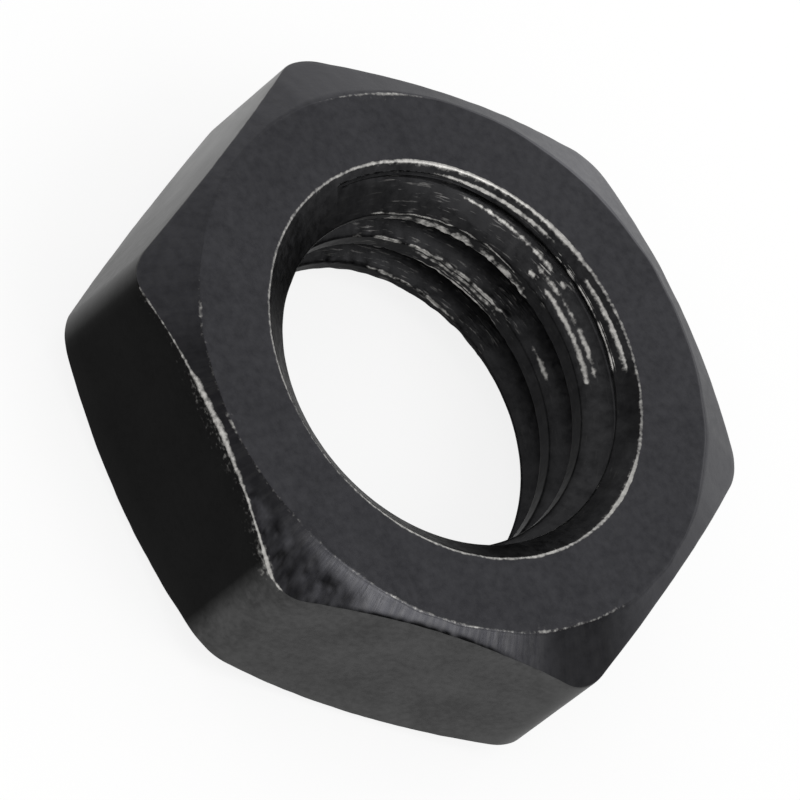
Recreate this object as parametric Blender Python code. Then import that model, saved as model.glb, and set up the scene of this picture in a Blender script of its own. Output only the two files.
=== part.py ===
"""Thin hexagon nut with a coarse metric thread, chamfered on both faces.

Units are metres. The thread's axis is +Z. The nut lies on its lower bearing face,
whose middle is the origin, and two of its six flats face +X and -X.
"""
import math

import bmesh
import bpy
from mathutils import Matrix, Vector

# The right-hand thread, a 60 degree metric form whose root is a flat, P/8 wide
THREAD_DIAMETER = 0.012
THREAD_PITCH = 0.00175
THREAD_ANGLE = math.radians(60.0)
# How much of the full thread's depth stands, in a hole drilled a little wide for the tap
THREAD_ENGAGEMENT = 0.9
# Where a crest passes the middle of the nut's thickness, as a turn about +Z from +X
THREAD_START = math.radians(66.0)

# The countersink at each end of the bore, a little wider than the thread
COUNTERSINK_MARGIN = 0.0003
COUNTERSINK_ANGLE = math.radians(90.0)

# The hexagon bar, whose wall is measured from the thread's root to the middle of a flat
FLAT_WALL = 0.003
THICKNESS = 0.006
CORNER_RADIUS = 0.0014

# The turned chamfer on each face, which just cuts the middle of every flat
FACE_INSET = 0.0004
CHAMFER_ANGLE = math.radians(30.0)

# How far a tool's body reaches past the surface that it cuts
TOOL_CLEARANCE = 0.0003

# Points that a cut leaves closer together than this are one point
MERGE_DISTANCE = 0.0000005

# Facets round a turned surface, and across a rounded corner
TURNED_SEGMENTS = 96
CORNER_SEGMENTS = 8

# Surfaces that meet at less than this angle are shaded as one
SMOOTH_ANGLE = math.radians(20.0)

THREAD_RADIUS = THREAD_DIAMETER / 2
SHARP_THREAD_DEPTH = THREAD_PITCH / (2 * math.tan(THREAD_ANGLE / 2))
THREAD_DEPTH = THREAD_ENGAGEMENT * SHARP_THREAD_DEPTH * 5 / 8
DRILL_RADIUS = THREAD_RADIUS - THREAD_DEPTH
FLAT_RADIUS = THREAD_RADIUS + FLAT_WALL
SHARP_CORNER_RADIUS = FLAT_RADIUS / math.cos(math.radians(30.0))


def clear_scene():
    """Remove every object, so that the nut is alone."""
    for item in list(bpy.data.objects):
        bpy.data.objects.remove(item, do_unlink=True)


def add_object(name, shape):
    """Turn a bmesh into an object in the scene."""
    bmesh.ops.recalc_face_normals(shape, faces=shape.faces)
    mesh = bpy.data.meshes.new(name)
    shape.to_mesh(mesh)
    shape.free()
    item = bpy.data.objects.new(name, mesh)
    bpy.context.scene.collection.objects.link(item)
    return item


def is_upright(edge):
    """Whether an edge runs along Z."""
    run = edge.verts[1].co - edge.verts[0].co
    return abs(run.z) > run.xy.length


def hexagon_bar(name):
    """A length of hexagon bar with rounded corners, a little longer than the nut."""
    shape = bmesh.new()
    bmesh.ops.create_cone(
        shape,
        cap_ends=True,
        segments=6,
        radius1=SHARP_CORNER_RADIUS,
        radius2=SHARP_CORNER_RADIUS,
        depth=THICKNESS + 2 * TOOL_CLEARANCE,
        matrix=Matrix.Translation((0.0, 0.0, THICKNESS / 2)),
    )
    bmesh.ops.bevel(
        shape,
        geom=[edge for edge in shape.edges if is_upright(edge)],
        offset=CORNER_RADIUS * math.tan(math.radians(30.0)),
        offset_type="OFFSET",
        segments=CORNER_SEGMENTS,
        profile=0.5,
        affect="EDGES",
    )
    return add_object(name, shape)


def section_loop(shape, outline):
    """Draw a closed outline of radius and height, half a facet round from +X."""
    half_facet = math.pi / TURNED_SEGMENTS
    outward = Vector((math.cos(half_facet), math.sin(half_facet), 0.0))
    points = [shape.verts.new(outward * radius + Vector((0.0, 0.0, height)))
              for radius, height in outline]
    edges = [shape.edges.new((point, points[index - 1]))
             for index, point in enumerate(points)]
    return points + edges


def blank_section():
    """Radius and height round the turned blank's section, from the lower countersink."""
    face_radius = FLAT_RADIUS - FACE_INSET
    blank_radius = SHARP_CORNER_RADIUS + TOOL_CLEARANCE
    chamfer_depth = (blank_radius - face_radius) * math.tan(CHAMFER_ANGLE)
    rim_radius = THREAD_RADIUS + COUNTERSINK_MARGIN
    sink_depth = (rim_radius - DRILL_RADIUS) / math.tan(COUNTERSINK_ANGLE / 2)
    return [
        (rim_radius, 0.0),
        (face_radius, 0.0),
        (blank_radius, chamfer_depth),
        (blank_radius, THICKNESS - chamfer_depth),
        (face_radius, THICKNESS),
        (rim_radius, THICKNESS),
        (DRILL_RADIUS, THICKNESS - sink_depth),
        (DRILL_RADIUS, sink_depth),
    ]


def turned_blank(name):
    """The ring that the lathe leaves: chamfered outside, drilled and countersunk."""
    shape = bmesh.new()
    bmesh.ops.spin(
        shape,
        geom=section_loop(shape, blank_section()),
        cent=(0.0, 0.0, 0.0),
        axis=(0.0, 0.0, 1.0),
        angle=math.tau,
        steps=TURNED_SEGMENTS,
        use_merge=True,
    )
    return add_object(name, shape)


def tooth_section(middle):
    """Radius and height round the tap's tooth, which starts a little inside the bore."""
    tip_half = THREAD_PITCH / 16
    base_radius = DRILL_RADIUS - THREAD_PITCH / 8
    base_half = tip_half + (THREAD_RADIUS - base_radius) * math.tan(THREAD_ANGLE / 2)
    return [
        (base_radius, middle - base_half),
        (THREAD_RADIUS, middle - tip_half),
        (THREAD_RADIUS, middle + tip_half),
        (base_radius, middle + base_half),
    ]


def tap(name):
    """The tap's tooth, wound up the bore from below the nut to above it."""
    turns = math.ceil(THICKNESS / THREAD_PITCH) + 3
    turn_to_groove = (THREAD_START + math.pi - math.pi / TURNED_SEGMENTS) / math.tau
    first_height = THICKNESS / 2 - THREAD_PITCH * (turns / 2 + turn_to_groove % 1.0 - 0.5)
    shape = bmesh.new()
    bmesh.ops.spin(
        shape,
        geom=section_loop(shape, tooth_section(first_height)),
        cent=(0.0, 0.0, 0.0),
        axis=(0.0, 0.0, 1.0),
        dvec=(0.0, 0.0, THREAD_PITCH / TURNED_SEGMENTS),
        angle=math.tau * turns,
        steps=TURNED_SEGMENTS * turns,
    )
    ends = [edge for edge in shape.edges if edge.is_boundary]
    bmesh.ops.holes_fill(shape, edges=ends)
    return add_object(name, shape)


def combine(body, tool, operation):
    """Apply an exact Boolean with the tool to the body, and remove the tool."""
    modifier = body.modifiers.new(operation.title(), "BOOLEAN")
    modifier.operation = operation
    modifier.solver = "EXACT"
    modifier.object = tool
    depsgraph = bpy.context.evaluated_depsgraph_get()
    mesh = bpy.data.meshes.new_from_object(body.evaluated_get(depsgraph))
    body.modifiers.clear()
    body.data = mesh
    bpy.data.objects.remove(tool, do_unlink=True)
    shape = bmesh.new()
    shape.from_mesh(mesh)
    bmesh.ops.remove_doubles(shape, verts=shape.verts, dist=MERGE_DISTANCE)
    shape.to_mesh(mesh)
    shape.free()


def black_oxide_steel():
    """Carbon steel with a black oxide finish: a dark charcoal metal with a satin sheen."""
    material = bpy.data.materials.new("black_oxide_steel")
    material.use_nodes = True
    surface = material.node_tree.nodes["Principled BSDF"]
    surface.inputs["Base Color"].default_value = (0.036, 0.036, 0.038, 1.0)
    surface.inputs["Metallic"].default_value = 0.9
    surface.inputs["Roughness"].default_value = 0.42
    return material


def build_nut():
    """Turn the bar to the blank's form, then tap its bore."""
    nut = hexagon_bar("nut_body")
    combine(nut, turned_blank("turned_blank"), "INTERSECT")
    combine(nut, tap("tap"), "DIFFERENCE")
    nut.data.name = "nut_body"
    nut.data.materials.clear()
    nut.data.materials.append(black_oxide_steel())
    nut.data.shade_smooth()
    nut.data.set_sharp_from_angle(angle=SMOOTH_ANGLE)
    return nut


clear_scene()
build_nut()
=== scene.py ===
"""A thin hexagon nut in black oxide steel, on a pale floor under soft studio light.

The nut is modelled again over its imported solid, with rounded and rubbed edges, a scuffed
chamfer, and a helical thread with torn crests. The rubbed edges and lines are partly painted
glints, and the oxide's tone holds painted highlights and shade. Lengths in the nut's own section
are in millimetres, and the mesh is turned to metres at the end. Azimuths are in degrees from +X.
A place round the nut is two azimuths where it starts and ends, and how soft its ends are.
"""

import math

import bmesh
import bpy
import numpy as np
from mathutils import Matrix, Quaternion, Vector, noise


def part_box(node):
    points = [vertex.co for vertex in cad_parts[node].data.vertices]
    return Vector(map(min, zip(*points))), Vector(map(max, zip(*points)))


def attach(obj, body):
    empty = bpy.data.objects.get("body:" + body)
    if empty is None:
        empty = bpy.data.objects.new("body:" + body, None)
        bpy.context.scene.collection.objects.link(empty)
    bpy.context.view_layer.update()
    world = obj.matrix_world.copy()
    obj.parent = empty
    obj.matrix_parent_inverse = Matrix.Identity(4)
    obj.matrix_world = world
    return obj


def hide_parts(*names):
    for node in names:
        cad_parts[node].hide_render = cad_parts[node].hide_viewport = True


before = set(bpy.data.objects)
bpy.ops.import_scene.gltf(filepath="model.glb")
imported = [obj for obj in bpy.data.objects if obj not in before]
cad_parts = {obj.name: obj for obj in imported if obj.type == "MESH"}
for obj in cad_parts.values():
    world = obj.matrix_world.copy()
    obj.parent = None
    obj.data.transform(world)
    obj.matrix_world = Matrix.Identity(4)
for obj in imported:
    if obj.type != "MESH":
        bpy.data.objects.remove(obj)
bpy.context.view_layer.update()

MM = 0.001
LOW_CORNER, HIGH_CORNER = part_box("nut_body")
THICKNESS = (HIGH_CORNER.z - LOW_CORNER.z) / MM
FLAT_RADIUS = (HIGH_CORNER.x - LOW_CORNER.x) / 2 / MM

# The thread, with the sizes that the solid has. Its root is a flat, an eighth of the pitch
# wide, and a crest passes the middle of the nut's thickness at THREAD_START
FLAT_WALL = 3.0
THREAD_RADIUS = FLAT_RADIUS - FLAT_WALL
PITCH = 1.75
THREAD_ENGAGEMENT = 0.9
FLANK_SLOPE = 1 / math.tan(math.radians(30.0))
THREAD_DEPTH = THREAD_ENGAGEMENT * 5 / 8 * PITCH / 2 * FLANK_SLOPE
DRILL_RADIUS = THREAD_RADIUS - THREAD_DEPTH
ROOT_HALF = PITCH / 16
CREST_HALF = PITCH / 2 - ROOT_HALF - THREAD_DEPTH / FLANK_SLOPE
THREAD_START = 66.0

# The countersinks, whose cones widen as fast as they rise
COUNTERSINK_MARGIN = 0.3
RIM_RADIUS = THREAD_RADIUS + COUNTERSINK_MARGIN
SINK_START = THICKNESS - (RIM_RADIUS - DRILL_RADIUS)

# The bearing faces, their chamfers, and the hexagon's sides and corners
FACE_INSET = 0.45
FACE_RADIUS = FLAT_RADIUS - FACE_INSET
CHAMFER_SLOPE = math.tan(math.radians(30.0))
SIDE_TURN = 60.0
CORNER_RADIUS = 1.4

# How far the chamfering tool ran off centre, and toward which azimuth its ring is wider
OFF_CENTRE = 0.1
OFF_CENTRE_AZIMUTH = 200.0

# The lower face is worn as the upper one is, but turned this far round
LOWER_FACE_TURN = 137.0

# How far each edge is rounded back along the surfaces that meet there
RIM_EASE = 0.065
FACE_EASE = 0.06
CREST_EASE = 0.045
SINK_EASE = 0.045

# How much that varies, as a share of it. The rim is rounded further where it is chipped
RIM_EASE_VARIES = 0.3
CHIPPED_EASE = 0.4
FACE_EASE_VARIES = 0.6
FLAT_EASE_VARIES = 0.5

# How far each edge runs off its true line, and where the rim is chipped
RIM_WANDER = 0.012
FACE_WANDER = 0.04
FLAT_EDGE_WANDER = 0.012
CHIPPED_RIM = (13, 34, 6)
CHIP_DEPTH = 0.04

# Across an edge's rounding its wear is half a wave, without this share of it at each end
EDGE_FADE = 0.12

# Columns of points round the nut, rows over each surface, and rows over a rounded edge
COLUMNS = 600
FACE_ROWS = 4
CHAMFER_ROWS = 8
FLAT_ROWS = 3
EDGE_STEPS = 5

# Depths of the rows inside the countersink, and how far the tool scored each, in bright lines
# that are partly painted glints. The last one is where the rim's run of rows begins
SINK_ROWS = {0.235: 0.6, 0.195: 1.0, 0.14: 0.0}

# Where the tool scored the countersink, along its glints, so the scores are partly painted
# glints, and how broken its scores are
SCORED_AND_GLINTING_SINK = ((-15, 13, 3), (28, 66, 8))
SCORES_BROKEN = 0.5

# The least height between two of the bore's lines, and the depth at which a groove ends
LEAST_STEP = 0.003
LEAST_GROOVE = 0.012

# Where the bore's lines run up a groove's two flanks, as shares of the flank. The lower
# flank has three scores, with plain lines between them
SCORE_SPACING = 0.135
UPPER_FLANK_LINE = 0.5
CREST_LINES = 2

# How many eases a countersink's edge keeps clear of the nearer and the farther groove, and
# how many the strip between two grooves holds at least
NEARER_EASES = 2
FARTHER_EASES = 6
STRIP_EASES = 12

# Turns of the thread that are tried past the nut at each end
SPARE_TURNS = 2

# What a line of the bore runs along
(PLAIN, CREST_FACE, BELOW_TOP, CREST_TOP, CREST_FOOT, ABOVE_FOOT, LOW_CREST, LOW_SINK_EDGE,
 MIDDLE_CREST, SINK_EDGE, LOW_SCORE, HIGH_SCORE, TOP_SCORE) = range(13)
LOWER_FLANK = (PLAIN, LOW_SCORE, PLAIN, HIGH_SCORE, PLAIN, TOP_SCORE, PLAIN)

# Azimuths past this one belong to the thread's next turn, where turns are counted from +X
TURN_END = 200.0

# The surfaces that a row of points can lie on, the three finishes, and which has which
SINK, FACE, CHAMFER, FLAT, BORE = range(5)
TURNED, DRAWN, TAPPED = range(3)
SURFACE_FINISH = {SINK: TAPPED, FACE: TURNED, CHAMFER: TURNED, FLAT: DRAWN, BORE: TAPPED}

# How far each edge is rubbed to bare steel, by azimuth. It is set by how the edges glint, so it
# is partly painted glints
RIM_RUBBED_AND_GLINTING = {-90: 1.0, -80: 0.7, -68: 0.75, -60: 1.25, -48: 1.2, -40: 0.65, -16: 0.55,
              -10: 0.55, 0: 0.62, 12: 0.6, 18: 0.8, 26: 1.3, 30: 0.9, 40: 0.88, 52: 1.1,
              60: 1.4, 72: 1.25, 80: 0.85, 95: 0.66, 120: 0.62, 160: 0.62, 172: 0.72,
              185: 0.5, 205: 0.55, 218: 0.85, 236: 0.85, 250: 0.7, 262: 0.78}
CIRCLE_RUBBED_AND_GLINTING = {-75: 0.0, 62: 0.0, 68: 0.32, 76: 0.68, 84: 0.5, 94: 0.22, 110: 0.16,
                 146: 0.18, 156: 0.32, 158: 0.6, 160: 0.34, 178: 0.32, 181: 0.62, 184: 0.34,
                 212: 0.32, 225: 0.36, 227: 0.66, 229: 0.42, 243: 0.42, 245: 0.8, 247: 0.4,
                 259: 0.4, 261: 0.75, 263: 0.45, 272: 0.45, 282: 0.4}
FLAT_EDGE_RUBBED_AND_GLINTING = {-45: 0.0, -32: 0.3, -20: 0.0, 149: 0.0, 155: 0.5, 165: 0.55, 171: 0.8,
                    181: 0.9, 188: 0.8, 192: 0.6, 197: 0.85, 202: 1.1, 206.5: 1.2,
                    208: 0.4, 209: 1.0, 210.5: 0.0}

# How far the edge between the chamfer and the flats is rounded back, by azimuth
FLAT_EDGE_EASE = {140: 0.05, 165: 0.045, 174: 0.12, 187: 0.12, 194: 0.06, 198: 0.06,
                  206: 0.08, 212: 0.05}

# How pale the oxide is on the chamfer and on the flats, by azimuth. It is painted light and
# shade: painted highlights on the chamfer near 30 and from 209 to 234 degrees and on the flat
# from 91 to 148, and painted shade on the chamfer from 166 to 198 and 265 to 276 and on the flat
# from 152 to 204
CHAMFER_PAINTED_LIGHT = {0: 1.2, 30: 2.2, 62: 1.2, 90: 1.05, 140: 0.85, 158: 0.75, 166: 0.38,
                    198: 0.4, 204: 0.75, 209: 1.35, 215: 1.65, 226: 1.6, 234: 1.3, 250: 1.1,
                    258: 0.7, 265: 0.36, 276: 0.36, 288: 0.9, 330: 1.2}
FLAT_PAINTED_LIGHT = {0: 1.1, 88: 1.1, 91: 4.8, 120: 3.0, 148: 1.5, 152: 0.1, 204: 0.1,
                 207.5: 1.08, 240: 1.1}

# The blotched patch on the chamfer: where it lies, how far from the face it starts and over
# what width it comes in, how pale it is, how much its blotches vary, and its extremes
PATCH = (193, 222, 7)
PATCH_START = 0.3
PATCH_FADE = 0.3
PATCH_PALENESS = 0.55
COARSE_BLOTCHES = 0.5
FINE_BLOTCHES = 0.7
PATCH_EXTREMES = (0.18, 1.5)

# A painted shadow under the lip along the chamfer's outer edge: where it lies, how far in from
# the edge and how wide, how full it is and how much that varies, and how much of the paleness it
# takes
LIP_SHADOW = (221, 253, 6)
LIP_SHADOW_INSET = 0.02
LIP_SHADOW_WIDTH = 0.09
LIP_SHADOW_FULLNESS = 1.2
LIP_SHADOW_VARIES = 0.8
LIP_SHADOW_DARKENS = 0.95

# How scuffed the chamfer is all round, how much more in some places, and how much of that
# the patch hides
CHAMFER_SCUFFED = 0.06
SCUFFED_PLACES = ((0.5, (204, 258, 10)), (0.12, (168, 204, 10)))
PATCH_HIDES = 0.8

# Ridges that the tool dragged up on the chamfer: their height, how they lie along the axis,
# and how far below the face they are full
RIDGE_HEIGHT = 0.02
RIDGE_SHAPE = (1.0, 1.0, 0.3)
RIDGE_FADE = 0.08

# How far the flats swell inward from true, in wide and in fine waves, and how far the face does
WIDE_SWELL = 0.010
FINE_SWELL = 0.003
FACE_SWELL = 0.004

# How pale the oxide is in the countersink, and where it is darker and paler by how much
SINK_PALENESS = 1.1
DARK_SINK = (-38, -14, 8)
PALE_SINK = (85, 140, 12)
SINK_CONTRAST = 0.5

# Where the tap tore the crests, chipped them, and smeared the thread
TORN_BORE = (20, 84, 8)
CHIPPED_BORE = (13, 27, 3)
SMEARED_BORE = (-85, -16, 10)

# How high up the damage to the crests starts, over what height it comes in, and how deep into
# a groove it reaches
DAMAGE_START = 0.6
DAMAGE_FADE = 0.8
CREST_REACH = 0.35

# The burrs on the crests: how far the coarse and the fine ones stand in, their shape along the
# axis, how much of that an undamaged crest has, and how far a chip cuts back
COARSE_BURR = 0.05
FINE_BURR = 0.03
BURR_SHAPE = (1.0, 1.0, 0.5)
SOUND_CREST_BURRS = 0.25
CHIP_CUTS = 0.06

# How far the crests wave up and down, the share of that an undamaged crest has, and how far
# from the faces the waves come in and are full
CREST_WAVE = 0.06
SOUND_CREST_WAVES = 0.15
WAVE_START = 0.35
WAVE_FADE = 0.5

# How pale the oxide is on the crests, how much paler the grooves are painted, as painted light
# that evens out the shade in them, what smears and tears take from that, and at what depth a
# groove is full
CREST_PALENESS = 0.8
GROOVE_PAINTED_LIGHT = 0.8
SMEAR_DARKENS = 0.15
TEAR_DARKENS = 0.5
GROOVE_FULL = 0.2

# Upright streaks in the smeared place: how strong they are, and their shape along the axis
STREAK_STRENGTH = 0.25
STREAK_SHAPE = (1.0, 1.0, 0.1)

# How scuffed the bore is all over, where it is torn, and where it is chipped, low down and
# near the upper face, with the heights between which the last comes in
BORE_SCUFFED = 0.03
TORN_SCUFFED = 0.20
CHIPPED_SCUFFED = 0.35
NEAR_FACE_SCUFFED = 0.65
NEAR_FACE_START = 4.9
NEAR_FACE_FADE = 0.4

# Lines of the bore that the tap or the screw has rubbed bare, laid along the glints of the crests
# and flanks, so they are partly painted glints: what the line runs along, the thread's turn, the
# azimuths where it starts and ends, how soft its ends are, and how bare
RUBBED_AND_GLINTING_LINES = (
    (CREST_TOP, 0, 20, 82, 6, 1.0),
    (BELOW_TOP, 0, 22, 80, 8, 0.9),
    (CREST_TOP, -1, 30, 66, 8, 0.9),
    (BELOW_TOP, -1, 34, 62, 8, 0.7),
    (CREST_FOOT, 0, 20, 60, 8, 0.6),
    (ABOVE_FOOT, 0, 20, 56, 6, 0.95),
    (LOW_CREST, 0, 22, 48, 8, 0.6),
    (CREST_FOOT, 1, 20, 82, 6, 1.0),
    (ABOVE_FOOT, 1, 20, 82, 6, 0.95),
    (LOW_CREST, 1, 22, 78, 8, 0.75),
    (LOW_SINK_EDGE, 1, 24, 76, 8, 0.8),
    (MIDDLE_CREST, 1, 26, 74, 8, 0.6),
    (CREST_FACE, 0, 22, 60, 8, 0.6),
    (SINK_EDGE, 1, 28, 86, 8, 1.0),
    (LOW_SCORE, 1, -16, 18, 3, 1.1),
    (HIGH_SCORE, 1, -13, 20, 5, 1.0),
    (LOW_SCORE, 1, 23, 26, 1.5, 0.9),
    (HIGH_SCORE, 1, 22, 25, 1.5, 1.0),
    (TOP_SCORE, 1, 14.5, 17, 1, 1.0),
    (TOP_SCORE, 1, 21, 26, 2, 1.2),
    (TOP_SCORE, 1, 24, 56, 6, 0.8),
    (LOW_SCORE, 0, -5, 6, 3, 0.9),
    (ABOVE_FOOT, 2, -15, 14, 3, 0.95),
    (LOW_CREST, 2, -15, 14, 3, 0.7),
    (CREST_FOOT, 2, 15, 18, 1.5, 1.2),
    (ABOVE_FOOT, 2, 15, 19, 2, 1.2),
    (LOW_CREST, 2, 15.5, 18.5, 1.5, 1.2),
    (ABOVE_FOOT, 2, 21, 23.5, 1, 1.1),
    (ABOVE_FOOT, 2, -86, -50, 10, 0.5),
)

# How full the rubbed lines and their painted glints are, how much that varies, and its shape
# along the axis
RUB_FULLNESS = 0.85
RUB_VARIES = 0.9
RUB_SHAPE = (1.0, 1.0, 0.5)

turn = np.arange(COLUMNS) * 360.0 / COLUMNS


def linear_colour(code):
    """A colour written as sRGB hex, as the linear colour that a shader takes."""
    channels = [int(code[place:place + 2], 16) / 255 for place in (1, 3, 5)]
    return tuple(c / 12.92 if c <= 0.04045 else ((c + 0.055) / 1.055) ** 2.4
                 for c in channels) + (1.0,)


def direction(azimuth, elevation):
    """A unit vector from the nut."""
    across = math.cos(math.radians(elevation))
    return Vector((across * math.cos(math.radians(azimuth)),
                   across * math.sin(math.radians(azimuth)),
                   math.sin(math.radians(elevation))))


def by_azimuth(profile, azimuth):
    """Values between those that a profile gives at some azimuths."""
    return np.interp(azimuth, list(profile), list(profile.values()), period=360.0)


def stretch(azimuth, start, end, soft):
    """1 between two azimuths and 0 outside them, with soft ends."""
    middle = (start + end) / 2
    off = np.abs((azimuth - middle + 180.0) % 360.0 - 180.0)
    return np.clip(((end - start) / 2 - off) / soft + 0.5, 0.0, 1.0)


def climb(values, start, width):
    """0 up to START, 1 from WIDTH past it, and a straight rise between them."""
    return np.clip((values - start) / width, 0.0, 1.0)


def grain(points, size, seed):
    """Smooth random values from about -1 to 1 that change over SIZE, at points in millimetres."""
    shift = Vector((seed, -seed, 0.5 * seed))
    return np.array([noise.noise(Vector(point) / size + shift) for point in points])


def round_the_nut(size, seed):
    """Smooth random values that change over SIZE along the flats, one for each column."""
    angle = np.radians(turn)
    ring = np.stack([np.cos(angle), np.sin(angle), 0 * angle], -1) * FLAT_RADIUS
    return grain(ring, size, seed)


def hexagon_radius():
    """Distance from the axis to the flats and their rounded corners, column by column."""
    half_turn = SIDE_TURN / 2
    half_side = math.radians(half_turn)
    off = np.radians(np.abs((turn + half_turn) % SIDE_TURN - half_turn))
    corner_centre = (FLAT_RADIUS - CORNER_RADIUS) / math.cos(half_side)
    across = corner_centre * np.sin(half_side - off)
    along = corner_centre * np.cos(half_side - off)
    rounded = along + np.sqrt(np.clip(CORNER_RADIUS ** 2 - across ** 2, 0.0, None))
    straight = FLAT_RADIUS / np.cos(off)
    arc_start = (FLAT_RADIUS - CORNER_RADIUS) * math.tan(half_side)
    return np.where(straight * np.sin(off) < arc_start, straight, rounded)


def toward(start, end, distance):
    """The place a given distance from one section point toward another."""
    part = distance / np.hypot(end[0] - start[0], end[1] - start[1])
    return blend_places(start, end, part)


def blend_places(first, second, part):
    """The place part of the way from one section point to another."""
    return tuple(a + (b - a) * part for a, b in zip(first, second))


def half_section(facing):
    """Rows of points from the upper countersink to the middle of the flats.

    Each row holds its radii, its heights, its wear, which is partly painted glints, and its
    surface. FACING turns the rubbed places and the chamfer's offset round the nut, so that the
    two faces aren't alike.
    """
    azimuth = turn - facing
    flat = hexagon_radius()
    level = np.zeros(COLUMNS)
    ragged = round_the_nut(size=0.45, seed=3.0 + facing)
    chipped = stretch(azimuth, *CHIPPED_RIM)
    face = FACE_RADIUS + OFF_CENTRE * np.cos(np.radians(azimuth - OFF_CENTRE_AZIMUTH))
    face = face + FACE_WANDER * round_the_nut(size=1.1, seed=7.0 + facing)
    rim = RIM_RADIUS + RIM_WANDER * round_the_nut(size=0.6, seed=5.0 + facing)
    rim = rim + CHIP_DEPTH * ragged * chipped
    drop = (flat - face) * CHAMFER_SLOPE + FLAT_EDGE_WANDER * ragged
    rim_edge = (rim, level + THICKNESS)
    face_edge = (face, level + THICKNESS)
    flat_edge = (flat, THICKNESS - drop)
    middle = (flat, level + THICKNESS / 2)

    rim_ease = RIM_EASE * (1 + RIM_EASE_VARIES * ragged + CHIPPED_EASE * chipped)
    face_varies = FACE_EASE_VARIES * round_the_nut(size=0.8, seed=11.0 + facing)
    face_ease = FACE_EASE * (1 + face_varies)
    flat_varies = FLAT_EASE_VARIES * round_the_nut(size=0.4, seed=13.0 + facing)
    flat_ease = by_azimuth(FLAT_EDGE_EASE, azimuth) * (1 + flat_varies)
    broken = 1 + SCORES_BROKEN * round_the_nut(size=0.35, seed=61.0 + facing)
    # The countersink's scores are partly painted glints
    scored = sum(stretch(azimuth, *place) for place in SCORED_AND_GLINTING_SINK) * broken

    rows = [(level + RIM_RADIUS - depth, level + THICKNESS - depth, scored * share, SINK)
            for depth, share in SINK_ROWS.items()]
    last_sink_row = rows.pop()[:2]
    # The rubbing along each edge is partly painted glints
    runs = [
        (last_sink_row, rim_edge, face_edge, 0.0, rim_ease, 1,
         by_azimuth(RIM_RUBBED_AND_GLINTING, azimuth), SINK, FACE),
        (rim_edge, face_edge, flat_edge, rim_ease, face_ease, FACE_ROWS,
         by_azimuth(CIRCLE_RUBBED_AND_GLINTING, azimuth), FACE, CHAMFER),
        (face_edge, flat_edge, middle, face_ease, flat_ease, CHAMFER_ROWS,
         by_azimuth(FLAT_EDGE_RUBBED_AND_GLINTING, azimuth), CHAMFER, FLAT),
    ]
    for begin, corner, after, start_ease, ease, count, wear, surface, next_surface in runs:
        first = toward(begin, corner, start_ease)
        last = toward(corner, begin, ease)
        beyond = toward(corner, after, ease)
        for step in range(count):
            rows.append((*blend_places(first, last, step / count), level, surface))
        for step in range(EDGE_STEPS):
            part = step / (EDGE_STEPS - 1)
            bend = blend_places(blend_places(last, corner, part),
                                blend_places(corner, beyond, part), part)
            wave = EDGE_FADE + (1 - 2 * EDGE_FADE) * part
            rubbed = wear * math.sin(math.pi * wave)
            rows.append((*bend, rubbed, surface if part < 0.5 else next_surface))
    first = toward(flat_edge, middle, flat_ease)
    for step in range(1, FLAT_ROWS + 1):
        rows.append((*blend_places(first, middle, step / FLAT_ROWS), level, FLAT))
    return rows


def countersunk(groove):
    """A groove's heights where the countersink above has cut it, or None where nothing is left.

    They are the groove's lower border, the two edges of its root, and its upper border.
    """
    low, root_low, root_high, high = groove
    if root_low - SINK_START > THREAD_DEPTH - LEAST_GROOVE:
        return None
    low += max(low - SINK_START, 0.0) / (FLANK_SLOPE - 1)
    high -= max(high - SINK_START, 0.0) / (FLANK_SLOPE + 1)
    if high < root_high:
        high = SINK_START + THREAD_DEPTH
    return low, max(root_low, low), min(root_high, high), high


def groove_above(crest):
    """The heights of the groove above one crest, cut by the countersinks at both ends."""
    middle = crest + PITCH / 2
    groove = (crest + CREST_HALF, middle - ROOT_HALF, middle + ROOT_HALF,
              crest + PITCH - CREST_HALF)
    for _ in ("upper", "lower"):
        groove = countersunk(groove)
        if groove is None:
            return None
        groove = tuple(THICKNESS - height for height in reversed(groove))
    return groove


def sink_reach(heights):
    """How far heights lie past the start of either countersink. It is negative between them."""
    return np.maximum(heights - SINK_START, THICKNESS - SINK_START - heights)


def bare_radius(height, crest):
    """Radius of the bore, cut sharp, in the column whose crest is at a given height."""
    off = abs((height - crest + PITCH / 2) % PITCH - PITCH / 2)
    thread = DRILL_RADIUS + min(max(off - CREST_HALF, 0.0) * FLANK_SLOPE, THREAD_DEPTH)
    return max(thread, DRILL_RADIUS + sink_reach(height))


def crest_lines(low, high, number):
    """Lines across the strip between two grooves, closer where a countersink starts."""
    ease = min(SINK_EASE, (high - low) / STRIP_EASES)
    nearer = NEARER_EASES * ease
    farther = FARTHER_EASES * ease
    lower = min(max(THICKNESS - SINK_START, low + nearer), high - farther)
    upper = min(max(SINK_START, low + farther), high - nearer)
    lines = [(lower - ease, LOW_CREST, number), (lower, LOW_SINK_EDGE, number),
             (lower + ease, LOW_CREST, number)]
    span = upper - lower - 2 * ease
    for step in range(1, CREST_LINES + 1):
        kind = MIDDLE_CREST if step == 1 else CREST_FACE
        lines.append((lower + ease + span * step / (CREST_LINES + 1), kind, number))
    return lines + [(upper - ease, CREST_FACE, number), (upper, SINK_EDGE, number),
                    (upper + ease, CREST_FACE, number)]


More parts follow.
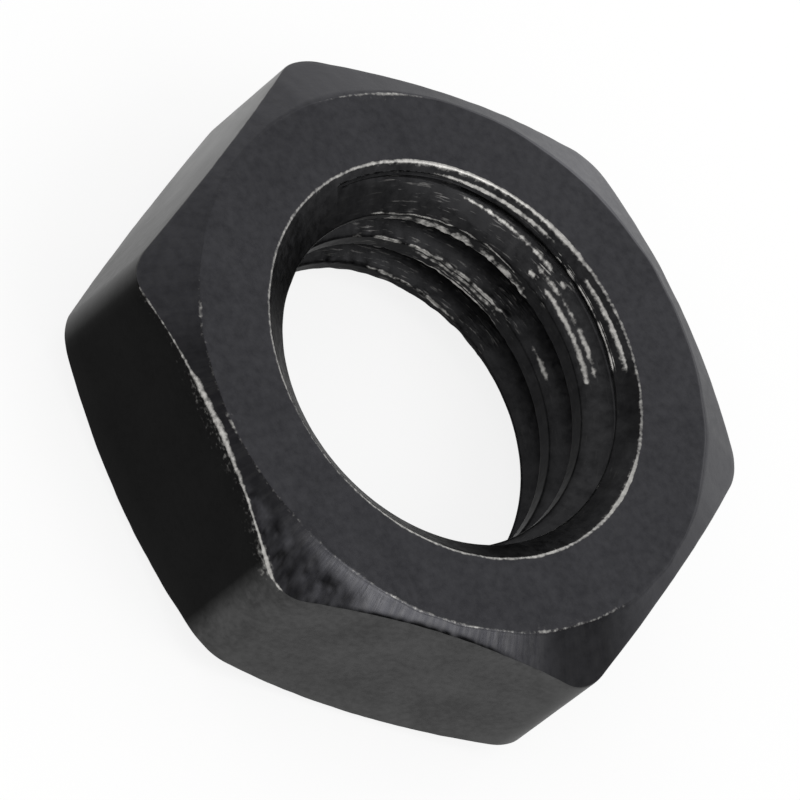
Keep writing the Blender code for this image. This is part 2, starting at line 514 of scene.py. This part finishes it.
def groove_lines(groove, number):
    """Lines along a groove, with its borders' rounded edges."""
    low, root_low, root_high, high = groove
    lines = [(low - CREST_EASE, BELOW_TOP, number), (low, CREST_TOP, number),
             (low + CREST_EASE, PLAIN, number)]
    for step, kind in enumerate(LOWER_FLANK, 1):
        lines.append((low + (root_low - low) * step * SCORE_SPACING, kind, number))
    lines += [(root_low, PLAIN, number), (root_high, PLAIN, number),
              (root_high + (high - root_high) * UPPER_FLANK_LINE, PLAIN, number)]
    return lines + [(high - CREST_EASE, PLAIN, number), (high, CREST_FOOT, number + 1),
                    (high + CREST_EASE, ABOVE_FOOT, number + 1)]


# How many lines the bore has in each pitch of the thread
LINES_A_PITCH = len(crest_lines(0.0, 1.0, 0)) + len(groove_lines((0.0, 0.0, 0.0, 0.0), 0))


def bore_column(index):
    """One column of the bore: line numbers, heights, radii, kinds and turns of the thread."""
    crest = THICKNESS / 2 + PITCH * (index / COLUMNS - THREAD_START / 360.0)
    rounds = int(THICKNESS / PITCH) + SPARE_TURNS
    grooves = {number: groove_above(crest + number * PITCH)
               for number in range(-rounds, rounds)}
    grooves = {number: groove for number, groove in grooves.items() if groove}
    low = max(SINK_ROWS)
    lines = []
    for number, groove in grooves.items():
        lines += crest_lines(low, groove[0] - CREST_EASE, number)
        lines += groove_lines(groove, number)
        low = groove[3] + CREST_EASE
    lines += crest_lines(low, THICKNESS - max(SINK_ROWS), max(grooves) + 1)
    heights, kinds, turns = (np.array(values) for values in zip(*lines))
    order = np.arange(len(lines))
    heights = np.maximum.accumulate(heights - LEAST_STEP * order) + LEAST_STEP * order
    radii = np.array([bare_radius(height, crest) for height in heights])
    rounded = (radii[:-2] + 2 * radii[1:-1] + radii[2:]) / 4
    is_edge = np.isin(kinds[1:-1], (CREST_TOP, CREST_FOOT, LOW_SINK_EDGE, SINK_EDGE))
    radii[1:-1] = np.where(is_edge, rounded, radii[1:-1])
    numbers = order + min(grooves) * LINES_A_PITCH
    return numbers, heights, radii, kinds, turns + (turn[index] > TURN_END)


def ring_points(radius, height, azimuth):
    """Points in millimetres from radii, heights and azimuths."""
    angle = np.radians(azimuth)
    return np.stack([radius * np.cos(angle), radius * np.sin(angle), height + 0 * angle], -1)


class NutMesh:
    """The nut's points with their wear and painted glints, their paleness with painted light and
    shade, and their scuffs, and its faces by finish.
    """

    def __init__(self):
        self.points = []
        self.wear = []
        self.paleness = []
        self.scuffs = []
        self.count = 0
        self.faces = []
        self.finishes = []

    def add_points(self, points, wear, paleness, scuffs):
        """Add points and return the number of the first one."""
        first = self.count
        self.points.append(points)
        self.wear.append(wear)
        self.paleness.append(paleness)
        self.scuffs.append(scuffs)
        self.count += len(points)
        return first

    def add_face(self, corners, surface):
        """Add a face from its corners' numbers, in the finish of its surface."""
        self.faces.append(tuple(corners))
        self.finishes.append(SURFACE_FINISH[surface])


def chamfer_look(points, azimuth, radius):
    """How pale and how scuffed the oxide is on one row of the chamfer. Its paleness holds painted
    highlights and shade, and a painted shadow along the lip.
    """
    from_face = np.clip(radius - FACE_RADIUS, 0.0, None)
    in_patch = stretch(azimuth, *PATCH) * climb(from_face, PATCH_START, PATCH_FADE)
    blotches = (PATCH_PALENESS + COARSE_BLOTCHES * grain(points, size=0.45, seed=41.0)
                + FINE_BLOTCHES * grain(points, size=0.2, seed=71.0))
    # The chamfer's paleness by azimuth is painted highlights and shade
    pale = by_azimuth(CHAMFER_PAINTED_LIGHT, azimuth)
    pale = pale * (1 - in_patch) + in_patch * np.clip(blotches, *PATCH_EXTREMES)
    # The lip's darkening is a painted shadow along the chamfer's outer edge
    from_lip = hexagon_radius() - radius - LIP_SHADOW_INSET
    lip = stretch(azimuth, *LIP_SHADOW) * np.exp(-(from_lip / LIP_SHADOW_WIDTH) ** 2)
    lip = lip * (LIP_SHADOW_FULLNESS + LIP_SHADOW_VARIES * grain(points, size=0.3, seed=43.0))
    lip = np.clip(lip, 0.0, 1.0)
    scuffed = CHAMFER_SCUFFED
    for strength, place in SCUFFED_PLACES:
        scuffed = scuffed + strength * stretch(azimuth, *place)
    return pale * (1 - LIP_SHADOW_DARKENS * lip), scuffed * (1 - PATCH_HIDES * in_patch) * (1 - lip)


def outer_row(mesh, row, facing, mirrored):
    """Place one row of the outer section, with the marks of its surface."""
    radius, height, worn, surface = row
    azimuth = turn - facing
    points = ring_points(radius, height, turn)
    pale = np.ones(COLUMNS)
    scuffed = np.zeros(COLUMNS)
    if surface == CHAMFER:
        pale, scuffed = chamfer_look(points, azimuth, radius)
        ridges = grain(points * RIDGE_SHAPE, size=0.3, seed=17.0) * scuffed
        points[:, 2] += RIDGE_HEIGHT * (ridges * climb(THICKNESS - height, 0.0, RIDGE_FADE))
    elif surface == FLAT:
        # The flats' paleness by azimuth is a painted reflection on one flat and painted shade on
        # another
        pale = by_azimuth(FLAT_PAINTED_LIGHT, turn)
        swell = (WIDE_SWELL * grain(points, size=1.6, seed=19.0)
                 + FINE_SWELL * grain(points, size=0.35, seed=23.0))
        points[:, :2] *= (1 - np.abs(swell) / FLAT_RADIUS)[:, None]
    elif surface == FACE:
        points[:, 2] -= FACE_SWELL * np.abs(grain(points, size=1.2, seed=29.0))
    elif surface == SINK:
        pale = (SINK_PALENESS - SINK_CONTRAST * stretch(azimuth, *DARK_SINK)
                + SINK_CONTRAST * stretch(azimuth, *PALE_SINK))
    if mirrored:
        points[:, 2] = THICKNESS - points[:, 2]
    return mesh.add_points(points, worn, pale, scuffed)


def add_outer_rows(mesh):
    """Both faces, their chamfers and the flats. Returns the first point of each row."""
    upper = half_section(0.0)
    lower = half_section(LOWER_FACE_TURN)
    starts = [outer_row(mesh, row, 0.0, False) for row in upper]
    surfaces = [row[3] for row in upper]
    for row in reversed(lower[:-1]):
        starts.append(outer_row(mesh, row, LOWER_FACE_TURN, True))
        surfaces.append(row[3])
    for row in range(len(starts) - 1):
        surface = max(surfaces[row], surfaces[row + 1])
        for column in range(COLUMNS):
            following = (column + 1) % COLUMNS
            mesh.add_face((starts[row] + column, starts[row] + following,
                           starts[row + 1] + following, starts[row + 1] + column), surface)
    return starts


def bore_wear_and_glints(points, azimuth, kinds, turns):
    """How far each point of a column is rubbed to bare steel, which is partly painted glints."""
    signed = (azimuth + 360.0 - TURN_END) % 360.0 - 360.0 + TURN_END
    worn = np.zeros(len(kinds))
    for kind, number, start, end, soft, strength in RUBBED_AND_GLINTING_LINES:
        on_line = (kinds == kind) & (turns == number)
        worn += on_line * stretch(signed, start, end, soft) * strength
    uneven = RUB_FULLNESS + RUB_VARIES * grain(points * RUB_SHAPE, size=0.32, seed=47.0)
    return np.clip(worn * uneven, 0.0, 1.0)


def damage_places(azimuth, heights):
    """How torn, how chipped and how smeared the bore is at each point of a column."""
    above_foot = climb(heights, DAMAGE_START, DAMAGE_FADE)
    return (stretch(azimuth, *TORN_BORE) * above_foot,
            stretch(azimuth, *CHIPPED_BORE) * above_foot,
            stretch(azimuth, *SMEARED_BORE))


def damaged_points(points, azimuth, heights, radii, kinds):
    """A column's points, with the burrs, chips and waves that the tap left on its crests."""
    torn, chipped, _ = damage_places(azimuth, heights)
    near_crest = 1.0 - climb(radii, DRILL_RADIUS, CREST_REACH)
    burr = grain(points * BURR_SHAPE, size=0.3, seed=31.0)
    fine_burr = grain(points, size=0.14, seed=37.0)
    on_edge = np.isin(kinds, (CREST_TOP, CREST_FOOT))
    inward = on_edge * (COARSE_BURR * burr + FINE_BURR * fine_burr) * (SOUND_CREST_BURRS + torn)
    inward = (inward - CHIP_CUTS * np.abs(burr) * chipped) * near_crest
    from_faces = climb(np.minimum(heights, THICKNESS - heights), WAVE_START, WAVE_FADE)
    lift = CREST_WAVE * grain(points, size=0.36, seed=59.0)
    lift = lift * (SOUND_CREST_WAVES + torn + chipped) * from_faces * near_crest
    return ring_points(radii - inward, heights + lift, azimuth)


def bore_look(points, azimuth, heights, radii):
    """How pale and how scuffed the oxide is at each point of a column. The grooves are painted
    paler, as painted light against their shade.
    """
    torn, chipped, smeared = damage_places(azimuth, heights)
    hole = DRILL_RADIUS + np.maximum(sink_reach(heights), 0.0)
    # The grooves are painted paler, a painted light that evens out the shade in them
    in_groove = climb(radii, hole, GROOVE_FULL)
    paler = GROOVE_PAINTED_LIGHT - SMEAR_DARKENS * smeared - TEAR_DARKENS * torn
    streaks = smeared * grain(points * STREAK_SHAPE, size=0.5, seed=67.0)
    pale = (CREST_PALENESS + in_groove * paler) * (1.0 + STREAK_STRENGTH * streaks)
    near_face = climb(heights, NEAR_FACE_START, NEAR_FACE_FADE)
    chips = (CHIPPED_SCUFFED + NEAR_FACE_SCUFFED * near_face) * chipped
    return pale, BORE_SCUFFED + TORN_SCUFFED * torn + chips


def add_bore_columns(mesh):
    """Place the bore's columns. Returns each one's points by the number of their line."""
    columns = []
    for index in range(COLUMNS):
        numbers, heights, radii, kinds, turns = bore_column(index)
        azimuth = np.full(len(heights), turn[index])
        points = ring_points(radii, heights, azimuth)
        worn = bore_wear_and_glints(points, azimuth, kinds, turns)
        pale, scuffed = bore_look(points, azimuth, heights, radii)
        points = damaged_points(points, azimuth, heights, radii, kinds)
        first = mesh.add_points(points, worn, pale, scuffed)
        columns.append({number: first + place for place, number in enumerate(numbers)})
    return columns


def add_bore(mesh, first_row, last_row):
    """The thread's helical lines, joined to the outer rows at both countersinks.

    Between two columns, one face at each end takes in the lines that start or stop there.
    """
    columns = add_bore_columns(mesh)
    for index, here in enumerate(columns):
        following = (index + 1) % COLUMNS
        there = columns[following]
        if following == 0:
            there = {number - LINES_A_PITCH: place for number, place in there.items()}
        low = max(min(here), min(there))
        high = min(max(here), max(there))
        for number in range(low, high):
            mesh.add_face((here[number], here[number + 1], there[number + 1], there[number]),
                          BORE)
        bottom = [here[number] for number in range(low, min(here) - 1, -1)]
        bottom += [last_row + index, last_row + following]
        bottom += [there[number] for number in range(min(there), low + 1)]
        top = [here[number] for number in range(high, max(here) + 1)]
        top += [first_row + index, first_row + following]
        top += [there[number] for number in range(max(there), high - 1, -1)]
        mesh.add_face(bottom, BORE)
        mesh.add_face(top, BORE)


def build_nut():
    """The whole nut as one closed mesh, with what its materials read at each point."""
    nut_mesh = NutMesh()
    rows = add_outer_rows(nut_mesh)
    add_bore(nut_mesh, rows[0], rows[-1])
    mesh = bpy.data.meshes.new("thin_hex_nut")
    points = np.concatenate(nut_mesh.points) * MM
    mesh.from_pydata(points.tolist(), [], nut_mesh.faces)
    mesh.polygons.foreach_set("material_index", nut_mesh.finishes)
    mesh.polygons.foreach_set("use_smooth", [True] * len(nut_mesh.faces))
    # The wear holds painted glints, and the oxide's paleness holds painted light and shade
    for name, values in (("wear_and_painted_glints", nut_mesh.wear), ("oxide_tone_and_painted_light", nut_mesh.paleness),
                         ("scuffed_steel", nut_mesh.scuffs)):
        attribute = mesh.attributes.new(name, "FLOAT", "POINT")
        attribute.data.foreach_set("value", np.concatenate(values))
    shape = bmesh.new()
    shape.from_mesh(mesh)
    bmesh.ops.recalc_face_normals(shape, faces=shape.faces)
    shape.to_mesh(mesh)
    shape.free()
    nut = bpy.data.objects.new("thin_hex_nut", mesh)
    bpy.context.scene.collection.objects.link(nut)
    return nut


def add_node(tree, kind, inputs, **settings):
    """Add one node to a material or world with its settings, values and links."""
    made = tree.nodes.new(kind)
    for name, value in settings.items():
        setattr(made, name, value)
    for name, value in inputs.items():
        if isinstance(value, bpy.types.NodeSocket):
            tree.links.new(value, made.inputs[name])
        else:
            made.inputs[name].default_value = value
    return made


# The places of a Mix node's two colours among its inputs, and of its result
FIRST_COLOUR = 6
SECOND_COLOUR = 7
MIXED_COLOUR = 2

# How much of the oxide's mottle is fine specks, and the part of its noise that shows
SPECK_SHARE = 0.65
MOTTLE_BAND = (0.36, 0.64)

# Bare steel's grit in millimetres and its two colours. Real grit is a tenth of that size, and
# it is drawn as coarse as it needs to show
GRIT_SIZE = 0.13
DARK_STEEL = "#7c7b79"
LIGHT_STEEL = "#c8c6c2"

# How ragged the grit makes the rubbed places, how far an edge has to be rubbed for steel to
# show, and from what wear on any can
RUB_RAGGED = 0.9
RUB_BAND = (0.25, 0.9)
TOUCH_BAND = (0.02, 0.25)

# The part of the specks' noise that changes the gloss, how much glossier and duller it gets,
# and how high the specks stand beside the scuffs
GLOSS_BAND = (0.3, 0.7)
GLOSSIER = 0.06
DULLER = 0.08
SPECK_RELIEF = 0.25


def cutting_marks(tree, place, along, across, up):
    """A place for marks that run round the axis, from the object's own place.

    ALONG, ACROSS and UP are the marks' sizes in millimetres: round the nut at the flats'
    radius, out from the axis, and along it.
    """
    split = add_node(tree, "ShaderNodeSeparateXYZ", {"Vector": place})
    level = add_node(tree, "ShaderNodeCombineXYZ",
                     {"X": split.outputs["X"], "Y": split.outputs["Y"]})
    ring = add_node(tree, "ShaderNodeVectorMath", {0: level.outputs["Vector"]},
                    operation="NORMALIZE")
    ring = add_node(tree, "ShaderNodeVectorMath",
                    {0: ring.outputs["Vector"], "Scale": FLAT_RADIUS / along},
                    operation="SCALE")
    reach = add_node(tree, "ShaderNodeVectorMath", {0: level.outputs["Vector"]},
                     operation="LENGTH")
    rise = add_node(tree, "ShaderNodeMath", {0: split.outputs["Z"], 1: 1 / (up * MM)},
                    operation="MULTIPLY")
    depth = add_node(tree, "ShaderNodeMath",
                     {0: reach.outputs["Value"], 1: 1 / (across * MM), 2: rise.outputs["Value"]},
                     operation="MULTIPLY_ADD")
    depth = add_node(tree, "ShaderNodeCombineXYZ", {"Z": depth.outputs["Value"]})
    marks = add_node(tree, "ShaderNodeVectorMath",
                     {0: ring.outputs["Vector"], 1: depth.outputs["Vector"]}, operation="ADD")
    return marks.outputs["Vector"]


def oxide_colour(tree, dark, light, clouds, specks):
    """The oxide's colour, mottled in clouds and specks, and scaled by the nut's paleness, which
    holds blotches and streaks and also painted highlights and shade.
    """
    pale = add_node(tree, "ShaderNodeAttribute", {}, attribute_name="oxide_tone_and_painted_light")
    mottle = add_node(tree, "ShaderNodeMix", {"Factor": SPECK_SHARE, "A": clouds, "B": specks})
    mottle = add_node(tree, "ShaderNodeMapRange",
                      {"Value": mottle.outputs["Result"], "From Min": MOTTLE_BAND[0],
                       "From Max": MOTTLE_BAND[1]})
    oxide = add_node(tree, "ShaderNodeMix",
                     {0: mottle.outputs["Result"], FIRST_COLOUR: linear_colour(dark),
                      SECOND_COLOUR: linear_colour(light)}, data_type="RGBA")
    toned = add_node(tree, "ShaderNodeVectorMath",
                     {0: oxide.outputs[MIXED_COLOUR], "Scale": pale.outputs["Fac"]},
                     operation="SCALE")
    return toned.outputs["Vector"]


def rubbed_through_and_glints(tree, grit):
    """How far the oxide is rubbed away to steel along the edges, ragged by the steel's grit. The
    bright steel is partly painted glints.
    """
    worn = add_node(tree, "ShaderNodeAttribute", {}, attribute_name="wear_and_painted_glints")
    uneven = add_node(tree, "ShaderNodeMath", {0: grit, 1: RUB_RAGGED, 2: -RUB_RAGGED / 2},
                      operation="MULTIPLY_ADD")
    rubbed = add_node(tree, "ShaderNodeMath",
                      {0: worn.outputs["Fac"], 1: uneven.outputs["Value"]}, operation="ADD")
    rubbed = add_node(tree, "ShaderNodeMapRange",
                      {"Value": rubbed.outputs["Value"], "From Min": RUB_BAND[0],
                       "From Max": RUB_BAND[1]}, interpolation_type="SMOOTHSTEP")
    touched = add_node(tree, "ShaderNodeMapRange",
                       {"Value": worn.outputs["Fac"], "From Min": TOUCH_BAND[0],
                        "From Max": TOUCH_BAND[1]})
    rubbed = add_node(tree, "ShaderNodeMath",
                      {0: rubbed.outputs["Result"], 1: touched.outputs["Result"]},
                      operation="MULTIPLY")
    return rubbed.outputs["Value"]


def oxide_finish(name, dark, light, cloud_size, grain_size, marks_size, marks_band, marks_bare,
                 roughness, relief, grazing=1.0):
    """Black oxide over bare steel, for one kind of surface.

    The oxide is mottled between DARK and LIGHT in clouds of CLOUD_SIZE and grains of GRAIN_SIZE
    millimetres, and its tone carries the nut's painted light and shade. It is rubbed through
    along the edges, where the bright lines are also painted glints, and scuffed in marks of
    MARKS_SIZE where the tool dragged. MARKS_BAND is the part of the noise that makes marks, and
    MARKS_BARE is how bare they get. RELIEF is how deep they are, in millimetres. GRAZING is how
    much of a metal's glare at a grazing angle the oxide keeps.
    """
    material = bpy.data.materials.new(name)
    material.use_nodes = True
    tree = material.node_tree
    shader = tree.nodes["Principled BSDF"]
    shader.inputs["Metallic"].default_value = 1.0
    shader.inputs["Specular Tint"].default_value = (grazing, grazing, grazing, 1.0)
    place = add_node(tree, "ShaderNodeTexCoord", {}).outputs["Object"]

    clouds = add_node(tree, "ShaderNodeTexNoise",
                      {"Vector": cutting_marks(tree, place, *cloud_size), "Scale": 1.0,
                       "Detail": 2.0})
    specks = add_node(tree, "ShaderNodeTexNoise",
                      {"Vector": place, "Scale": 1 / (grain_size * MM), "Detail": 3.0,
                       "Roughness": 0.6})
    grit = add_node(tree, "ShaderNodeTexNoise",
                    {"Vector": place, "Scale": 1 / (GRIT_SIZE * MM), "Detail": 2.0})
    marks = add_node(tree, "ShaderNodeTexNoise",
                     {"Vector": cutting_marks(tree, place, *marks_size), "Scale": 1.0,
                      "Detail": 3.0, "Roughness": 0.55})

    scuffed = add_node(tree, "ShaderNodeAttribute", {}, attribute_name="scuffed_steel")
    dragged = add_node(tree, "ShaderNodeMapRange",
                       {"Value": marks.outputs["Fac"], "From Min": marks_band[0],
                        "From Max": marks_band[1], "To Max": marks_bare})
    dragged = add_node(tree, "ShaderNodeMath",
                       {0: dragged.outputs["Result"], 1: scuffed.outputs["Fac"]},
                       operation="MULTIPLY")
    bare = add_node(tree, "ShaderNodeMath",
                    {0: rubbed_through_and_glints(tree, grit.outputs["Fac"]), 1: dragged.outputs["Value"]},
                    operation="MAXIMUM")
    oxide = oxide_colour(tree, dark, light, clouds.outputs["Fac"], specks.outputs["Fac"])
    steel = add_node(tree, "ShaderNodeMix",
                     {0: grit.outputs["Fac"], FIRST_COLOUR: linear_colour(DARK_STEEL),
                      SECOND_COLOUR: linear_colour(LIGHT_STEEL)}, data_type="RGBA")
    colour = add_node(tree, "ShaderNodeMix",
                      {0: bare.outputs["Value"], FIRST_COLOUR: oxide,
                       SECOND_COLOUR: steel.outputs[MIXED_COLOUR]}, data_type="RGBA")
    tree.links.new(colour.outputs[MIXED_COLOUR], shader.inputs["Base Color"])

    gloss = add_node(tree, "ShaderNodeMapRange",
                     {"Value": specks.outputs["Fac"], "From Min": GLOSS_BAND[0],
                      "From Max": GLOSS_BAND[1], "To Min": roughness - GLOSSIER,
                      "To Max": roughness + DULLER})
    tree.links.new(gloss.outputs["Result"], shader.inputs["Roughness"])

    drag_relief = add_node(tree, "ShaderNodeMath",
                           {0: marks.outputs["Fac"], 1: scuffed.outputs["Fac"]},
                           operation="MULTIPLY")
    fine = add_node(tree, "ShaderNodeMath",
                    {0: specks.outputs["Fac"], 1: SPECK_RELIEF, 2: drag_relief.outputs["Value"]},
                    operation="MULTIPLY_ADD")
    bump = add_node(tree, "ShaderNodeBump",
                    {"Height": fine.outputs["Value"], "Strength": 1.0, "Distance": relief * MM})
    tree.links.new(bump.outputs["Normal"], shader.inputs["Normal"])
    return material


# Black oxide is a skin of magnetite about a thousandth of a millimetre thick, grown on the
# steel in a hot bath and oiled. It takes the sheen of the surface under it. Its own grain is
# as fine as its thickness, so on all three surfaces it is drawn a few tenths of a millimetre
# across, as coarse as it needs to show


def turned_steel():
    """Turned carbon steel, blacked, for the faces and chamfers.

    To the eye it is an even charcoal with a satin sheen, and the chamfer is scuffed in fine
    pale strokes where the tool dragged. Real strokes are some hundredths of a millimetre
    wide, and these are drawn four times as wide, to show.
    """
    return oxide_finish("turned_black_oxide", "#333336", "#3e3e41",
                        cloud_size=(1.6, 1.6, 1.6), grain_size=0.30,
                        marks_size=(0.16, 0.4, 0.4), marks_band=(0.40, 0.75), marks_bare=0.13,
                        roughness=0.38, relief=0.02)


def drawn_steel():
    """Cold-drawn hexagon bar, blacked, for the flats.

    To the eye it is a duller grey with a fine, soft mottle, and less glare than turned steel
    at a grazing angle.
    """
    return oxide_finish("drawn_black_oxide", "#373737", "#4b4b4b",
                        cloud_size=(1.6, 1.6, 1.6), grain_size=0.22,
                        marks_size=(0.3, 3.0, 1.2), marks_band=(0.52, 0.68), marks_bare=0.3,
                        roughness=0.44, relief=0.012, grazing=0.75)


def tapped_steel():
    """Drilled and tapped carbon steel, blacked, for the bore and its countersinks.

    To the eye it is near black, with sparse thin bright lines where the tap tore its crests. The
    lines are partly painted glints.
    """
    return oxide_finish("tapped_black_oxide", "#1d1d1e", "#2b2b2c",
                        cloud_size=(0.8, 3.0, 2.5), grain_size=0.25,
                        marks_size=(0.9, 0.1, 0.1), marks_band=(0.60, 0.70), marks_bare=0.8,
                        roughness=0.42, relief=0.03, grazing=0.6)


def add_softbox(name, azimuth, elevation, distance, width, power):
    """A round soft light that faces the nut."""
    lamp = bpy.data.lights.new(name, "AREA")
    lamp.shape = "DISK"
    lamp.size = width
    lamp.energy = power
    light = bpy.data.objects.new(name, lamp)
    outward = direction(azimuth, elevation)
    light.location = outward * distance
    light.rotation_mode = "QUATERNION"
    light.rotation_quaternion = outward.to_track_quat("Z", "Y")
    bpy.context.scene.collection.objects.link(light)


# The camera looks down on the nut from its left, and is rolled as the photograph is
CAMERA_AZIMUTH = -161.6
CAMERA_ELEVATION = 47.95
CAMERA_ROLL = math.radians(51.4)
CAMERA_DISTANCE = 0.267
CLIP_START = CAMERA_DISTANCE / 20
CLIP_END = CAMERA_DISTANCE * 50
FRAME_WIDTH = 0.0232
SENSOR_WIDTH = 36.0
# Where the camera aims, across and up in its own view from the nut's middle
AIM_ACROSS = -0.09 * MM
AIM_UP = 0.045 * MM


def add_camera():
    """The camera that takes the photograph's view."""
    data = bpy.data.cameras.new("camera")
    data.sensor_width = SENSOR_WIDTH
    data.lens = SENSOR_WIDTH * CAMERA_DISTANCE / FRAME_WIDTH
    data.clip_start = CLIP_START
    data.clip_end = CLIP_END
    camera = bpy.data.objects.new("camera", data)
    outward = direction(CAMERA_AZIMUTH, CAMERA_ELEVATION)
    turned = outward.to_track_quat("Z", "Y") @ Quaternion((0.0, 0.0, 1.0), CAMERA_ROLL)
    aim = turned @ Vector((AIM_ACROSS, AIM_UP, CAMERA_DISTANCE))
    camera.location = Vector((0.0, 0.0, THICKNESS / 2 * MM)) + aim
    camera.rotation_mode = "QUATERNION"
    camera.rotation_quaternion = turned
    bpy.context.scene.collection.objects.link(camera)
    bpy.context.scene.camera = camera


FLOOR_HALF = 1.5
# The floor lies just under the nut, so that two faces don't share one plane
FLOOR_GAP = 0.02 * MM
# How much of the floor's white is its own light, as camera and reflections see it
FLOOR_GLOW = 0.85


def add_floor():
    """A sheet of white paper: matt, nearly pure white, and it keeps the nut's shadow."""
    mesh = bpy.data.meshes.new("floor")
    corners = [(x * FLOOR_HALF, y * FLOOR_HALF, -FLOOR_GAP)
               for x, y in ((-1, -1), (1, -1), (1, 1), (-1, 1))]
    mesh.from_pydata(corners, [], [(0, 1, 2, 3)])
    floor = bpy.data.objects.new("floor", mesh)
    bpy.context.scene.collection.objects.link(floor)
    material = bpy.data.materials.new("white_paper")
    material.use_nodes = True
    tree = material.node_tree
    paper = tree.nodes["Principled BSDF"]
    paper.inputs["Base Color"].default_value = linear_colour("#f4f4f3")
    paper.inputs["Roughness"].default_value = 0.9
    paper.inputs["Specular IOR Level"].default_value = 0.2
    rays = add_node(tree, "ShaderNodeLightPath", {})
    seen = add_node(tree, "ShaderNodeMath",
                    {0: rays.outputs["Is Camera Ray"], 1: rays.outputs["Is Glossy Ray"]},
                    operation="MAXIMUM")
    seen = add_node(tree, "ShaderNodeMath",
                    {0: seen.outputs["Value"], 1: rays.outputs["Is Transmission Ray"]},
                    operation="MAXIMUM")
    share = add_node(tree, "ShaderNodeMath", {0: seen.outputs["Value"], 1: FLOOR_GLOW},
                     operation="MULTIPLY")
    glow = add_node(tree, "ShaderNodeEmission", {"Color": linear_colour("#ffffff")})
    blend = add_node(tree, "ShaderNodeMixShader",
                     {0: share.outputs["Value"], 1: paper.outputs["BSDF"],
                      2: glow.outputs["Emission"]})
    output = tree.nodes["Material Output"]
    tree.links.new(blend.outputs["Shader"], output.inputs["Surface"])
    mesh.materials.append(material)


# The studio's light at the horizon and overhead, and the sine of the elevation from which it
# is as overhead
HORIZON_LIGHT = 1.4
OVERHEAD_LIGHT = 0.8
OVERHEAD_START = 0.9


def add_world():
    """Soft light from all round, brighter near the horizon than overhead."""
    world = bpy.data.worlds.new("studio")
    world.use_nodes = True
    bpy.context.scene.world = world
    tree = world.node_tree
    background = tree.nodes["Background"]
    place = add_node(tree, "ShaderNodeTexCoord", {})
    split = add_node(tree, "ShaderNodeSeparateXYZ", {"Vector": place.outputs["Generated"]})
    ramp = add_node(tree, "ShaderNodeMapRange",
                    {"Value": split.outputs["Z"], "From Min": 0.0, "From Max": OVERHEAD_START,
                     "To Min": HORIZON_LIGHT, "To Max": OVERHEAD_LIGHT})
    tree.links.new(ramp.outputs["Result"], background.inputs["Color"])


bpy.context.scene.view_settings.view_transform = "Standard"
nut = build_nut()
for finish in (turned_steel(), drawn_steel(), tapped_steel()):
    nut.data.materials.append(finish)
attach(nut, "root")
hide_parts("nut_body")
add_floor()
add_world()
add_softbox("key_softbox", azimuth=288, elevation=60, distance=0.30, width=0.17, power=0.2)
add_camera()
